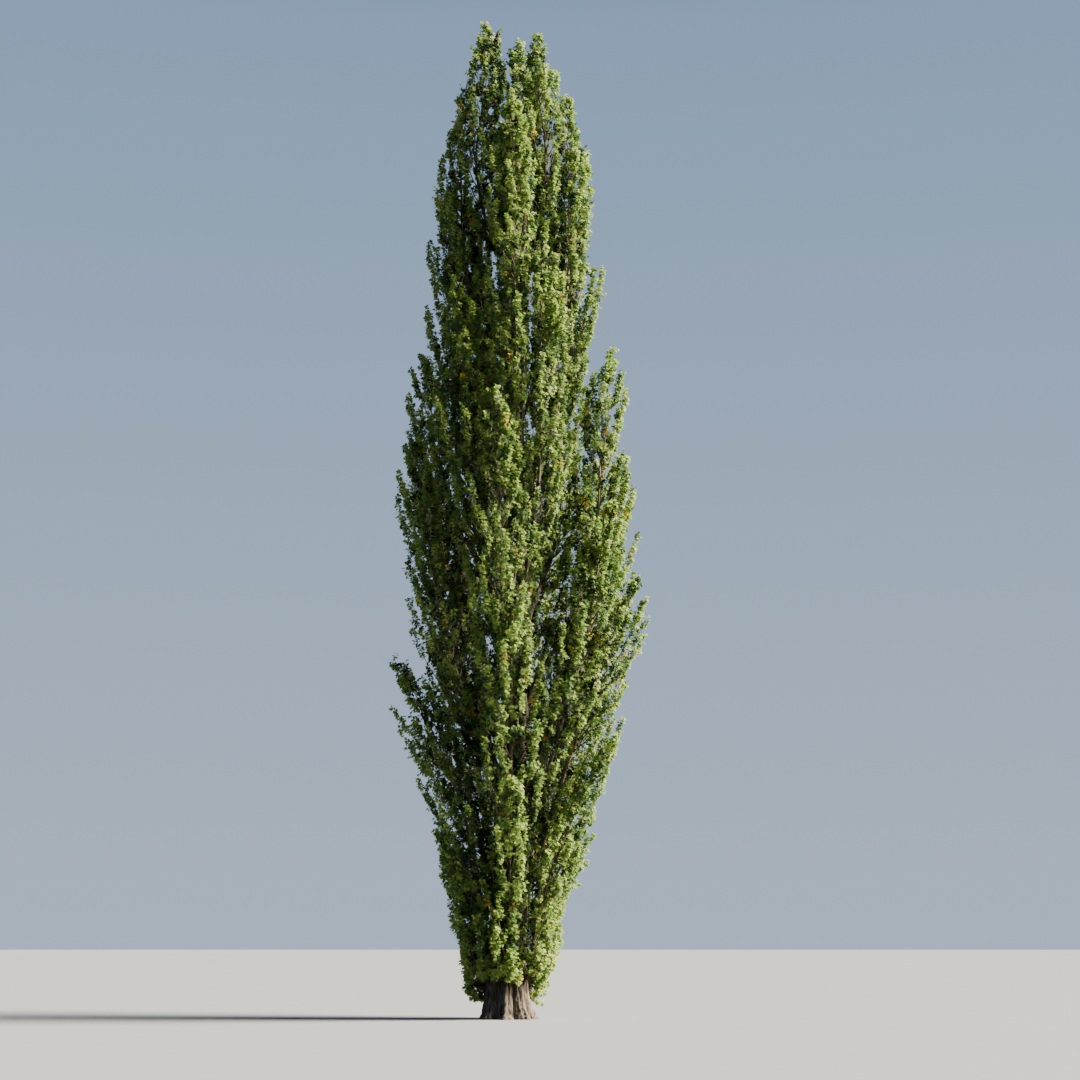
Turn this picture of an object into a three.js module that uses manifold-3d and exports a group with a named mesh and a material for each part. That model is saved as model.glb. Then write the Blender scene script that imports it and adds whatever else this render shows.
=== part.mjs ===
// A Lombardy poplar, 25 m tall, rooted in level ground: one fluted trunk that runs up to the crest, steep
// boughs round it, and plumes of leafy twigs that stand close together up the whole height.
// Millimetres, +Z up. The origin is the middle of the flat cut where the trunk meets the ground.
import * as THREE from 'three';
import { mergeVertices } from 'three/addons/utils/BufferGeometryUtils.js';
import Module from 'manifold-3d';

const wasm = await Module();
wasm.setup();

// Trunk: a straight leader that leans a little to +X, with a fluted foot and one long root spur
const TRUNK_HEIGHT = 23200;
const TRUNK_RADIUS = 500;
const TRUNK_VANISH = 24000; // height where the taper would come to a point
const TAPER = 1.15;
const LEAN = 240;
const SWAY = 150;
const SWAY_LENGTH = 36000;
const FLARE = 230;
const FLARE_HEIGHT = 370;
const SPUR_BEARING = -20;
const SPUR_SHARE = 0.45;
const FLUTES = 8;
const FLUTE_DEPTH = 0.13;
const FLUTE_HEIGHT = 2600;
const TRUNK_SIDES = 32;
const TRUNK_RINGS = 15;
const RING_CROWDING = 1.9; // rings stand closer together near the ground

// Crown: how far its outline reaches from the trunk's axis, at each height
const CROWN_REACH = [
  [300, 720], [1000, 1000], [2000, 1450], [4000, 2200], [6500, 2950], [9000, 3450],
  [12000, 3330], [15500, 2860], [19000, 2400], [21500, 2050], [23500, 1420], [25000, 940],
];

// Tiers of plumes, from the crest down. The tips are evenly spaced round the trunk, starting at the bearing
// (0 is +X, 90 is +Y). Half is a plume's half width, and start is how far out it begins, as a share of the
// crown's reach there. Bough is the radius of the bough that carries it. The others grow on the trunk itself.
const TIERS = [
  {
    name: 'crest', bearing: 200, length: 6200, half: 920, start: 0.14,
    tips: [25000, 24500, 24950],
  },
  {
    name: 'shoulder', bearing: 180, length: 7400, half: 840, start: 0.2,
    tips: [23600, 22600, 23100, 22400],
  },
  {
    name: 'upper', bearing: 344, length: 7600, half: 980, start: 0.24, bough: 80,
    tips: [21900, 20600, 20800, 20400, 19600],
  },
  {
    name: 'high', bearing: 350, length: 7600, half: 1080, start: 0.26, bough: 95,
    tips: [16200, 18000, 17200, 16300, 17600, 18600],
  },
  {
    name: 'middle', bearing: 20, length: 7400, half: 1140, start: 0.26, bough: 110,
    tips: [13800, 14200, 13300, 13900, 14600, 12000],
  },
  {
    name: 'low', bearing: 340, length: 6600, half: 1160, start: 0.32, bough: 130,
    tips: [10300, 9600, 9000, 8400, 10000],
  },
  {
    name: 'skirt', bearing: 210, length: 6000, half: 780, start: 0.5,
    tips: [3700, 5400, 6500, 4800, 5200, 4400],
  },
];
const LOWEST_FOOT = 400;
const FRONT_FOOT = 800; // plumes on the -Y side start higher and leave the trunk's foot bare
const FRONT_SECTOR = -0.4; // sine of the bearing where that side begins
const OUTWARD_POWER = 2.4; // a plume swings out early and then stands nearly upright
const EDGE_SHARE = 0.9;
const TIP_INSET = 0.3; // a tip stands back from the outline by this share of the half width
const FOOT_WIDTH = 0.5;
const WIDEST_AT = 0.5;
const TIP_POWER = 0.47;

// Boughs and stems
const BOUGH_SIDES = 6;
const BOUGH_RINGS = 3;
const BOUGH_TIP = 0.55; // tip radius as a share of the radius at the trunk
const BOUGH_STEEPNESS = 1.9; // rise for each step outwards
const BOUGH_RISE = 700;
const BOUGH_BEND = 0.45; // share of its span over which a bough already heads along its plume
const LOWEST_FORK = 325;
const STEM_RADIUS = 60;
const STEM_TAPER = 0.3;
const STEM_BEND = 0.4;
const STEM_SHARE = 0.14;
const STEM_SIDES = 5;
const STEM_RINGS = 1;
const TRUNK_SAMPLES = 100;
const SEAT_GAP = 0.3;
const SLIVER = 2; // faces that stand out by less than this after joining are merged
const DUST = 0.1; // and by less than this after cutting

// Foliage: a core in each plume, twigs that stand out of it, and leaves, each as large as a spray
const CORE_SIDES = 6;
const CORE_RINGS = 6;
const CORE_FROM = 0.07;
const CORE_TO = 1;
const CORE_SHARE = 0.74;
const CORE_MARGIN = 0.1;
const CORE_LEAST = 32;
const CORE_STEPS = 16;
const CORE_UNEVENNESS = 0.12;
const LIMB_CLEARANCE = 45;
const ROOM_GAP = 5; // what a core keeps from the twigs and leaves of the next plume
const TWIGS = 13;
const TWIG_TRIES = 60;
const TWIGS_FROM = 0.1;
const TWIGS_TO = 0.93;
const TWIG_SECTOR = 1.5 * Math.PI; // twigs fan out on the plume's outer side
const TWIG_SIDES = 3;
const TWIG_RADIUS = 34;
const TWIG_SHARES = [0.8, 0.7, 0.6]; // the longest that fits is grown
const TWIG_TAPER = 0.1;
const TWIG_RISE = 1.7;
const TWIG_LIFT = 0.1; // a twig ends this share of the plume's length above its root
const LEAF_LENGTH = 680;
const LEAF_WIDTH = 380;
const LEAF_THICKNESS = 60;
const LEAF_WIDEST_AT = 0.42;
const LEAF_FULL_AT = 950; // leaves are full size where the plume's half width is this much
const LEAF_LEAST = 0.42;
const LEAF_MARGIN = 0.03;
const LEAF_ROOT = 16;
const GROUND_CLEARANCE = 60;
const SAMPLES = 25;
const HEADING_STEP = 0.01;
const WELD = 0.001;
const FIRST_SEED = 1100;
const SPREAD = [0.7548777, 0.5698403]; // steps that scatter places evenly over two directions

const BARK = new THREE.MeshStandardMaterial({ color: 0x8d7f6c, roughness: 0.9, metalness: 0 });
const FOLIAGE = new THREE.MeshStandardMaterial({ color: 0x74883a, roughness: 0.65, metalness: 0 });

function seeded(seed) {
  let state = seed;
  return () => {
    state = (state + 0x6d2b79f5) | 0;
    let mixed = Math.imul(state ^ (state >>> 15), 1 | state);
    mixed = (mixed + Math.imul(mixed ^ (mixed >>> 7), 61 | mixed)) ^ mixed;
    return ((mixed ^ (mixed >>> 14)) >>> 0) / 4294967296;
  };
}

function polar(radius, bearing, height) {
  return new THREE.Vector3(radius * Math.cos(bearing), radius * Math.sin(bearing), height);
}

// Straight lines between the points of a table of [place, value]
function between(table, place) {
  const next = table.findIndex(([end]) => end >= place);
  if (next === 0) return table[0][1];
  if (next < 0) return table.at(-1)[1];
  const [a, low] = table[next - 1];
  const [b, high] = table[next];
  return low + (high - low) * (place - a) / (b - a);
}

// Surfaces: a unit cylinder whose points are set at a share along, an angle and a share of the radius
function swept(sides, rings, place) {
  const geometry = new THREE.CylinderGeometry(1, 1, 1, sides, rings);
  const points = geometry.attributes.position;
  for (let i = 0; i < points.count; i++) {
    const out = Math.hypot(points.getX(i), points.getZ(i));
    const angle = Math.atan2(-points.getZ(i), points.getX(i));
    const p = place(points.getY(i) + 0.5, angle, out);
    points.setXYZ(i, p.x, p.y, p.z);
  }
  return geometry;
}

// A limb along a curve, with its radius at each share of the length. Extra makes it larger on all sides.
function limb(curve, radiusAt, sides, rings, extra = 0) {
  return swept(sides, rings, (t, angle, out) => {
    const along = curve.getTangentAt(t);
    const across = new THREE.Vector3(1, 0, 0).cross(along).normalize();
    const side = along.clone().cross(across).normalize();
    const r = (radiusAt(t) + extra) * out;
    return curve.getPointAt(t)
      .addScaledVector(along, extra * Math.sign(Math.round(2 * t) - 1))
      .addScaledVector(across, r * Math.cos(angle))
      .addScaledVector(side, r * Math.sin(angle));
  });
}

// A leaf of 8 faces, from its root along a direction, flat to one side
function leaf(root, along, flat, size) {
  const wide = along.clone().cross(flat).normalize();
  const thick = wide.clone().cross(along).normalize();
  const geometry = new THREE.OctahedronGeometry(1);
  const points = geometry.attributes.position;
  for (let i = 0; i < points.count; i++) {
    const [x, y, z] = [points.getX(i), points.getY(i), points.getZ(i)];
    const reach = x === 0 ? LEAF_WIDEST_AT : (x + 1) / 2;
    const p = root.clone().addScaledVector(along, size * LEAF_LENGTH * reach);
    p.addScaledVector(wide, y * size * LEAF_WIDTH / 2).addScaledVector(thick, z * size * LEAF_THICKNESS / 2);
    points.setXYZ(i, p.x, p.y, p.z);
  }
  return geometry;
}

// Solids: a closed geometry as a manifold, turned the right way out, and back
function solid(geometry) {
  geometry.deleteAttribute('normal');
  geometry.deleteAttribute('uv');
  const merged = mergeVertices(geometry, WELD);
  const triVerts = Uint32Array.from(merged.index.array);
  const vertProperties = Float32Array.from(merged.attributes.position.array);
  const made = new wasm.Manifold(new wasm.Mesh({ numProp: 3, vertProperties, triVerts }));
  if (made.volume() > 0) return made;
  for (let i = 0; i < triVerts.length; i += 3) triVerts.subarray(i, i + 2).reverse();
  return new wasm.Manifold(new wasm.Mesh({ numProp: 3, vertProperties, triVerts }));
}

// The same body with the slivers that joining or cutting leaves merged into their neighbours
function thinned(body, least) {
  return body.asOriginal().simplify(least);
}

// The outer shell of the largest body: loose scraps are dropped and sealed hollows filled
function largest(body) {
  return body.decompose().sort((a, b) => b.volume() - a.volume())[0];
}

function meshOf(name, body, material) {
  const { vertProperties, triVerts } = body.getMesh();
  const geometry = new THREE.BufferGeometry();
  geometry.setAttribute('position', new THREE.BufferAttribute(vertProperties, 3));
  geometry.setIndex(new THREE.BufferAttribute(triVerts, 1));
  geometry.computeVertexNormals();
  const mesh = new THREE.Mesh(geometry, material);
  mesh.name = name;
  return mesh;
}

// Trunk
function trunkAxis(height) {
  const wave = 2 * Math.PI * height / SWAY_LENGTH;
  return new THREE.Vector3(
    LEAN * height / TRUNK_HEIGHT + SWAY * Math.sin(wave),
    SWAY * (1 - Math.cos(wave)) / 2,
    height,
  );
}

function trunkRadius(height) {
  const wood = TRUNK_RADIUS * Math.max(1 - height / TRUNK_VANISH, 0) ** TAPER;
  return wood + FLARE * Math.exp(-height / FLARE_HEIGHT);
}

function trunkBody(extra) {
  const spur = THREE.MathUtils.degToRad(SPUR_BEARING);
  return solid(swept(TRUNK_SIDES, TRUNK_RINGS, (t, angle, out) => {
    const height = TRUNK_HEIGHT * t ** RING_CROWDING;
    const flute = FLUTE_DEPTH * Math.exp(-height / FLUTE_HEIGHT) * Math.cos(FLUTES * angle);
    const root = FLARE * SPUR_SHARE * Math.exp(-height / FLARE_HEIGHT) * Math.cos(angle - spur);
    const radius = (trunkRadius(height) * (1 + flute) + root + extra) * out;
    return polar(radius, angle, t === 1 ? extra : 0).add(trunkAxis(height));
  }));
}

// Plumes
function crownReach(height) {
  return between(CROWN_REACH, height);
}

function plumeWidth(plume, s) {
  const lower = Math.sin(Math.min(s / WIDEST_AT, 1) * Math.PI / 2);
  const upper = Math.cos(Math.max((s - WIDEST_AT) / (1 - WIDEST_AT), 0) * Math.PI / 2) ** TIP_POWER;
  return plume.half * (s < WIDEST_AT ? FOOT_WIDTH + (1 - FOOT_WIDTH) * lower : upper);
}

function plumeAxis(plume, s) {
  const height = plume.foot + (plume.tip - plume.foot) * s;
  const outward = 1 - (1 - s) ** OUTWARD_POWER;
  const edge = crownReach(height) - EDGE_SHARE * Math.max(plumeWidth(plume, s), TIP_INSET * plume.half);
  const radius = plume.start + (edge - plume.start) * outward;
  return polar(radius, plume.bearing, 0).add(trunkAxis(height));
}

function plumesOf(tier) {
  return tier.tips.map((tip, i) => {
    const bearing = THREE.MathUtils.degToRad(tier.bearing + 360 * i / tier.tips.length);
    const lowest = Math.sin(bearing) < FRONT_SECTOR ? FRONT_FOOT : LOWEST_FOOT;
    const foot = Math.max(tip - tier.length, lowest);
    const start = Math.max(tier.start * crownReach(foot), trunkRadius(foot) + 2 * STEM_RADIUS);
    const plume = { name: `${tier.name}_plume_${i + 1}`, tier, bearing, tip, foot, start, half: tier.half };
    plume.places = Array.from({ length: SAMPLES }, (_, k) => plumeAxis(plume, k / (SAMPLES - 1)));
    plume.widths = plume.places.map((_, k) => Math.max(plumeWidth(plume, k / (SAMPLES - 1)), 1));
    return plume;
  });
}

// How much of a plume's width a point uses up: 0 on its axis and 1 at its edge
function fill(plume, point) {
  return Math.min(...plume.places.map((place, k) => place.distanceTo(point) / plume.widths[k]));
}

// A point is a plume's own when it lies within that plume and fills it less than any other one
function isOwn(plume, point, margin) {
  const own = fill(plume, point);
  return own <= 1 && plume.rivals.every((other) => fill(other, point) > own + margin);
}

// The plumes that could reach into a plume's room
function rivalsOf(plume, plumes) {
  return plumes.filter((other) => other !== plume && plume.places.some(
    (place) => other.places.some((far) => far.distanceTo(place) < plume.half + other.half),
  ));
}

// Limbs: the curve and taper of each bough, and of each stem from its trunk or bough into its plume
function forkHeight(plume) {
  const outward = plume.start - trunkRadius(plume.foot);
  return Math.max(plume.foot - BOUGH_RISE - BOUGH_STEEPNESS * outward, LOWEST_FORK);
}

function boughOf(plume) {
  const from = trunkAxis(forkHeight(plume));
  const to = plume.places[0];
  const heading = plumeAxis(plume, 1 / SAMPLES).sub(to).normalize();
  const bend = to.clone().addScaledVector(heading, -BOUGH_BEND * from.distanceTo(to));
  const curve = new THREE.QuadraticBezierCurve3(from, bend, to);
  const radiusAt = (t) => plume.tier.bough * (1 - (1 - BOUGH_TIP) * t);
  return { name: plume.name.replace('plume', 'bough'), plume, curve, radiusAt };
}

function stemOf(plume) {
  const into = plumeAxis(plume, STEM_SHARE);
  if (!plume.tier.bough) {
    const curve = new THREE.QuadraticBezierCurve3(trunkAxis(forkHeight(plume)), plume.places[0], into);
    return { plume, curve, radiusAt: (t) => STEM_RADIUS * (1 - STEM_TAPER * t) };
  }
  const heading = plumeAxis(plume, 1 / SAMPLES).sub(plume.places[0]).normalize();
  const seat = plume.places[0].clone().addScaledVector(heading, SEAT_GAP);
  const bend = seat.clone().addScaledVector(heading, STEM_BEND * seat.distanceTo(into));
  const curve = new THREE.QuadraticBezierCurve3(seat, bend, into);
  const radius = plume.tier.bough * BOUGH_TIP;
  return { plume, curve, radiusAt: (t) => radius * (1 - STEM_TAPER * t) };
}

function boughBody(bough, extra = 0) {
  return solid(limb(bough.curve, bough.radiusAt, BOUGH_SIDES, BOUGH_RINGS, extra));
}

function stemBody(stem, extra = 0) {
  return solid(limb(stem.curve, stem.radiusAt, STEM_SIDES, STEM_RINGS, extra));
}

// Balls along a limb, for testing what comes too close to it
function ballsOf(piece) {
  return Array.from({ length: SAMPLES }, (_, k) => {
    const t = k / (SAMPLES - 1);
    return { owner: piece.plume, centre: piece.curve.getPointAt(t), radius: piece.radiusAt(t) };
  });
}

function trunkBalls() {
  return Array.from({ length: TRUNK_SAMPLES }, (_, k) => {
    const height = TRUNK_HEIGHT * k / (TRUNK_SAMPLES - 1);
    return { owner: null, centre: trunkAxis(height), radius: trunkRadius(height) * (1 + FLUTE_DEPTH) };
  });
}

function isClear(point, balls, gap) {
  return balls.every(({ centre, radius }) => centre.distanceTo(point) > radius + gap);
}

// Foliage
function plumeHeading(plume, s) {
  const above = plumeAxis(plume, Math.min(s + HEADING_STEP, 1));
  const below = plumeAxis(plume, Math.max(s - HEADING_STEP, 0));
  return above.sub(below).normalize();
}

// A point beside a plume's axis, by its share of the length, its angle round the axis and its radius
function besideAxis(plume, s, angle, radius) {
  const along = plumeHeading(plume, s);
  const across = new THREE.Vector3(0, 1, 0).cross(along).normalize();
  const side = along.clone().cross(across);
  return plumeAxis(plume, s)
    .addScaledVector(across, radius * Math.cos(angle))
    .addScaledVector(side, radius * Math.sin(angle));
}

// How far the core reaches out from each ring's sides before it meets a neighbour's room or a limb
function coreReaches(plume) {
  const ringStep = (CORE_TO - CORE_FROM) / CORE_RINGS;
  const isFree = (p) => isOwn(plume, p, CORE_MARGIN) && isClear(p, plume.balls, LIMB_CLEARANCE);
  const reachAt = (s, angle) => {
    const nearby = [s - ringStep / 3, s, s + ringStep / 3].filter((place) => place <= 1);
    const unevenness = CORE_UNEVENNESS * (2 * plume.random() - 1);
    const step = plumeWidth(plume, s) * CORE_SHARE * (1 + unevenness) / CORE_STEPS;
    let reach = 0;
    for (let k = 1; k <= CORE_STEPS; k++) {
      if (!nearby.every((place) => isFree(besideAxis(plume, place, angle, k * step)))) break;
      reach = k * step;
    }
    return Math.max(reach, CORE_LEAST);
  };
  return Array.from({ length: CORE_RINGS + 1 }, (_, ring) => Array.from(
    { length: CORE_SIDES },
    (_, side) => reachAt(CORE_FROM + ringStep * ring, 2 * Math.PI * side / CORE_SIDES),
  ));
}

// The core has a flat side at each reach. The unit cylinder's first side stands a quarter turn back.
function coreBody(plume, extra = 0) {
  return solid(swept(CORE_SIDES, CORE_RINGS, (t, angle, out) => {
    const turns = angle / (2 * Math.PI) + 0.25;
    const side = Math.round((turns + 1) * CORE_SIDES) % CORE_SIDES;
    const reach = plume.reaches[Math.round(t * CORE_RINGS)][side];
    const s = CORE_FROM + (CORE_TO - CORE_FROM) * t;
    return besideAxis(plume, s, 2 * Math.PI * side / CORE_SIDES, out * (reach + extra))
      .addScaledVector(plumeHeading(plume, s), extra * Math.sign(Math.round(2 * t) - 1));
  }));
}

// A twig rises outwards from the plume's axis
function twigLine(plume, s, angle, share) {
  const from = plumeAxis(plume, s);
  const outward = besideAxis(plume, s, angle, 1).sub(from);
  const out = plumeWidth(plume, Math.min(s + TWIG_LIFT, 1)) * share;
  const end = from.clone().addScaledVector(outward, out);
  return new THREE.LineCurve3(from, end.addScaledVector(plumeHeading(plume, s), TWIG_RISE * out));
}

// All of a twig or leaf has to lie in its plume's own room, clear of the limbs and the ground
function fits(plume, geometry) {
  const points = geometry.attributes.position;
  const placeOf = (_, i) => new THREE.Vector3().fromBufferAttribute(points, i);
  const isFree = (p) => isOwn(plume, p, LEAF_MARGIN) && isClear(p, plume.balls, LIMB_CLEARANCE);
  return Array.from({ length: points.count }, placeOf).every((p) => p.z > GROUND_CLEARANCE && isFree(p));
}

// A twig and the leaf at its end
function twigWithLeaf(line, size, random) {
  const twig = limb(line, (t) => TWIG_RADIUS * (1 - TWIG_TAPER * t), TWIG_SIDES, 1);
  const aim = line.getTangentAt(1);
  const root = line.getPointAt(1).addScaledVector(aim, -LEAF_ROOT);
  const flat = new THREE.Vector3(random() - 0.5, random() - 0.5, random() - 0.5).cross(aim).normalize();
  return [twig, leaf(root, aim, flat, size)];
}

// Twigs scattered over a plume's outer side. One that would leave the plume's room is left out.
function twigsOf(plume) {
  const { random } = plume;
  const grown = [];
  for (let k = 0; k < TWIG_TRIES && grown.length < TWIGS; k++) {
    const s = TWIGS_FROM + (TWIGS_TO - TWIGS_FROM) * ((k * SPREAD[0] + 0.1 * random()) % 1);
    const angle = plume.bearing + TWIG_SECTOR * ((k * SPREAD[1]) % 1 - 0.5);
    const size = Math.max(plumeWidth(plume, s) / LEAF_FULL_AT, LEAF_LEAST);
    const lines = TWIG_SHARES.map((share) => twigLine(plume, s, angle, share));
    const longest = lines.map((line) => twigWithLeaf(line, size, random))
      .find((pieces) => pieces.every((piece) => fits(plume, piece)));
    if (longest) grown.push(longest);
  }
  return grown.flat();
}

const poplar = new THREE.Group();
const plumes = TIERS.flatMap(plumesOf);
const boughs = plumes.filter(({ tier }) => tier.bough).map(boughOf);
const stems = plumes.map(stemOf);
const limbBalls = [...trunkBalls(), ...boughs.flatMap(ballsOf)];
const stemBalls = stems.flatMap(ballsOf);
plumes.forEach((plume, i) => {
  plume.random = seeded(FIRST_SEED + i);
  plume.rivals = rivalsOf(plume, plumes);
  plume.balls = [...limbBalls, ...stemBalls.filter(({ owner }) => owner !== plume)];
  plume.reaches = coreReaches(plume);
});

const trunkRoom = trunkBody(SEAT_GAP);
const woodRoom = wasm.Manifold.union([trunkRoom, ...boughs.map((bough) => boughBody(bough, SEAT_GAP))]);
const stemRooms = stems.map((stem) => stemBody(stem, ROOM_GAP));
const coreRooms = plumes.map((plume) => coreBody(plume, ROOM_GAP));

poplar.add(meshOf('trunk', trunkBody(0), BARK));
for (const bough of boughs) {
  poplar.add(meshOf(bough.name, largest(boughBody(bough).subtract(trunkRoom)), BARK));
}
plumes.forEach((plume, i) => {
  const twigs = twigsOf(plume).map(solid);
  const grown = thinned(wasm.Manifold.union([stemBody(stems[i]), coreBody(plume), ...twigs]), SLIVER);
  const near = plume.rivals.map((rival) => plumes.indexOf(rival));
  const rivalCores = wasm.Manifold.union(near.map((k) => coreRooms[k])).subtract(stemRooms[i]);
  const taken = wasm.Manifold.union([woodRoom, rivalCores, ...near.map((k) => stemRooms[k])]);
  poplar.add(meshOf(plume.name, thinned(largest(grown.subtract(taken)), DUST), FOLIAGE));
});

export default poplar;
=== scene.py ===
import math
from types import SimpleNamespace

import bpy
import numpy as np
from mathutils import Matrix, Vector, noise


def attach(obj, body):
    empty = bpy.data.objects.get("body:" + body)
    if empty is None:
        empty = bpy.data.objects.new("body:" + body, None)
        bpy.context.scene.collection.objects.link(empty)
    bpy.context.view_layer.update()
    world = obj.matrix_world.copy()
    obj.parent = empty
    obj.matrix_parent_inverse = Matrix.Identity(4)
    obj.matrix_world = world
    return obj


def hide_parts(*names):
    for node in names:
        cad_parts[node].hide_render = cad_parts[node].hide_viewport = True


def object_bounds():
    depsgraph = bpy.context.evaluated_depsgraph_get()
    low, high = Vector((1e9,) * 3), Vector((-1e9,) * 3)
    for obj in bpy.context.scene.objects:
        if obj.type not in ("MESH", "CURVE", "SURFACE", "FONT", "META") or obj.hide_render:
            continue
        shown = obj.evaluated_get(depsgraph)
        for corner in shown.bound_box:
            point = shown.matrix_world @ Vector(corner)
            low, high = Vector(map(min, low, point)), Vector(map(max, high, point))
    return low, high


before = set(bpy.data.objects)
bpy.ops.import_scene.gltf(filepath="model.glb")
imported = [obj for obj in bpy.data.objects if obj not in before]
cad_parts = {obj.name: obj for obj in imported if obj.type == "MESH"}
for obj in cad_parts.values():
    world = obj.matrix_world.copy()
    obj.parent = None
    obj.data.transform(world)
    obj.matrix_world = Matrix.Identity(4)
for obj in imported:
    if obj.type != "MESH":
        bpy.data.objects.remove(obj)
cad_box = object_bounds()

# A Lombardy poplar rooted in level ground, in metres, +Z up. The first sizes are the CAD model's own, so
# that every limb and plume here lies in the room of the solid it replaces.

# Trunk
TRUNK_HEIGHT = 23.2
TRUNK_RADIUS = 0.5
TRUNK_VANISH = 24.0
TAPER = 1.15
LEAN = 0.24
SWAY = 0.15
SWAY_LENGTH = 36.0
FLARE = 0.23
FLARE_HEIGHT = 0.37
SPUR_BEARING = math.radians(-20)
SPUR_SHARE = 0.45
FLUTES = 8
FLUTE_DEPTH = 0.13
FLUTE_HEIGHT = 2.6

# The trunk's skin: its rings and sides, the ribs that run up from the roots, and the furrows of the bark.
# Real furrows are 30 to 50 mm apart. These are 85 mm apart, because the mesh can't hold closer ones.
TRUNK_RINGS = 270
TRUNK_SIDES = 168
RING_CROWDING = 2.1
RIBS = 22
RIB_GROOVE = 0.1
RIB_SHARPNESS = 3
RIB_TWIST = 0.35
FURROW_SPACING = 0.085
FURROW_DEPTH = 0.022
FURROW_LEVEL = 0.8
FURROW_NOISE = (0.8, 2.0, 3)
GRAIN_STRETCH = 0.16

# The bark's pattern of colour and bump. Real ridges are 30 to 50 mm apart on old bark and 10 to 20 mm on
# young bark. Both are drawn coarser, at 70 and 30 mm, because a pixel of the picture is 25 mm wide. The
# levels are where furrows, ridges and crests lie in the pattern. The furrows' dark colour is partly the
# bark's own and partly painted shade, and the crests' pale colour partly the bark's own and partly a
# painted highlight.
OLD_BARK = {"spacing": 0.07, "depth": 0.03}
YOUNG_BARK = {"spacing": 0.03, "depth": 0.006}
BARK_LEVELS = (0.38, 0.52, 0.68)

# Crown: how far its outline reaches from the trunk's axis, at each height
CROWN_REACH = [
    (0.3, 0.72), (1.0, 1.0), (2.0, 1.45), (4.0, 2.2), (6.5, 2.95), (9.0, 3.45),
    (12.0, 3.33), (15.5, 2.86), (19.0, 2.4), (21.5, 2.05), (23.5, 1.42), (25.0, 0.94),
]
# Tiers of plumes: the bearing of the first, their length, half width and start, the radius of the boughs
# that carry them, and the heights of their tips
TIERS = {
    "crest": (200, 6.2, 0.92, 0.14, 0, [25.0, 24.5, 24.95]),
    "shoulder": (180, 7.4, 0.84, 0.2, 0, [23.6, 22.6, 23.1, 22.4]),
    "upper": (344, 7.6, 0.98, 0.24, 0.08, [21.9, 20.6, 20.8, 20.4, 19.6]),
    "high": (350, 7.6, 1.08, 0.26, 0.095, [16.2, 18.0, 17.2, 16.3, 17.6, 18.6]),
    "middle": (20, 7.4, 1.14, 0.26, 0.11, [13.8, 14.2, 13.3, 13.9, 14.6, 12.0]),
    "low": (340, 6.6, 1.16, 0.32, 0.13, [10.3, 9.6, 9.0, 8.4, 10.0]),
    "skirt": (210, 6.0, 0.78, 0.5, 0, [3.7, 5.4, 6.5, 4.8, 5.2, 4.4]),
}
# A plume's foot is never lower than this, and higher at the front, where the trunk shows
LOWEST_FOOT = 0.4
FRONT_FOOT = 0.8
FRONT_SECTOR = -0.4
# A plume's course, and its half width from a blunt foot to a closed tip
OUTWARD_POWER = 2.4
EDGE_SHARE = 0.9
TIP_INSET = 0.3
FOOT_WIDTH = 0.5
WIDEST_AT = 0.5
TIP_POWER = 0.47
SAMPLES = 25
HEADING_STEP = 0.01
LEAST_WIDTH = 0.14

# Boughs, the stems of plumes that have no bough, and the leader in the middle of each plume
BOUGH_TIP = 0.55
BOUGH_STEEPNESS = 1.9
BOUGH_RISE = 0.7
BOUGH_BEND = 0.45
LOWEST_FORK = 0.325
BOUGH_POINTS = 22
STEM_RADIUS = 0.06
STEM_SHARE = 0.14
STEM_POINTS = 8
LEADER_POINTS = 30
LEADER_TIP = 0.006
LEADER_TAPER = 1.2

# The skins of limbs: how many sides a section has, how far its bumps stand out in metres, and how many
# bumps there are to a metre. Twigs are too thin to show any.
BOUGH_SKIN = {"sides": 14, "relief": 0.02, "relief_size": 9.0}
BRANCH_SKIN = {"sides": 5, "relief": 0.004, "relief_size": 20.0}
TWIG_SKIN = {"sides": 3, "relief": 0.0, "relief_size": 1.0}

# Each plume grows by chance from a seed of its own, counted up from this one
FIRST_SEED = 1100

# Fingers: the steep shoots off each plume's leader. The two steps of the spread set them evenly along the
# leader and round it. A finger's reach is in plume widths, and one that would end in another plume's room
# is pulled in by the first of the pulls that makes it fit.
SPREAD = (0.7548777, 0.5698403)
FINGERS = 66
FINGER_TRIES = 130
FINGERS_FROM = 0.05
FINGER_REACH = (0.16, 0.84)
FINGER_REACH_POWER = 0.6
FINGER_PULLS = (1.0, 0.8, 0.6)
FINGER_RISE = 2.0
FINGER_FOOT = 0.7
FINGER_LOWEST = 0.01
FINGER_BEND_AT = 0.4
FINGER_BEND_OUT = 0.9
FINGER_MARGIN = 0.08
FINGER_POINTS = 7
FINGER_RADIUS = (0.008, 0.018)
FINGER_TIP = 0.0035
LONG_FINGER = 2
FINGER_WOBBLE = 0.03
HEIGHT_CHANCE = 0.03
BEARING_CHANCE = 0.3
SPIRE_FROM = 0.8

# Twigs, from a finger's foot to its tip
GOLDEN_ANGLE = math.radians(137.5)
TWIGS_PER_FINGER = 22
TWIGS_ALONG = (0.1, 0.99)
TWIG_CHANCE = 0.5
TWIG_LENGTH = (0.3, 0.15)
TWIG_LENGTH_CHANCE = (0.7, 1.25)
TWIG_ANGLE = (0.8, 0.55)
TWIG_RADIUS = 0.0045
TWIG_TAPER = (1, 0.5)
TWIG_LIFT = 0.3

# Leaves, about 1.5 times as long as real ones, because a crown of real ones would be too heavy a mesh. Each
# points forward along its twig, outwards, downwards and by chance, in these shares.
LEAVES_PER_TWIG = 15
LEAF_LENGTH = (0.085, 0.11)
TIP_LEAVES = 0.85
TIP_CROWDING = 1.02
STALK = 0.018
LEAF_FORWARD = 0.25
LEAF_OUTWARD = 0.6
LEAF_DROOP = 0.35
LEAF_CHANCE = 0.4
FACE_CHANCE = 0.3
FACE_UPWARD = 0.1
LEAF_GLOW = 0.5

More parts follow.
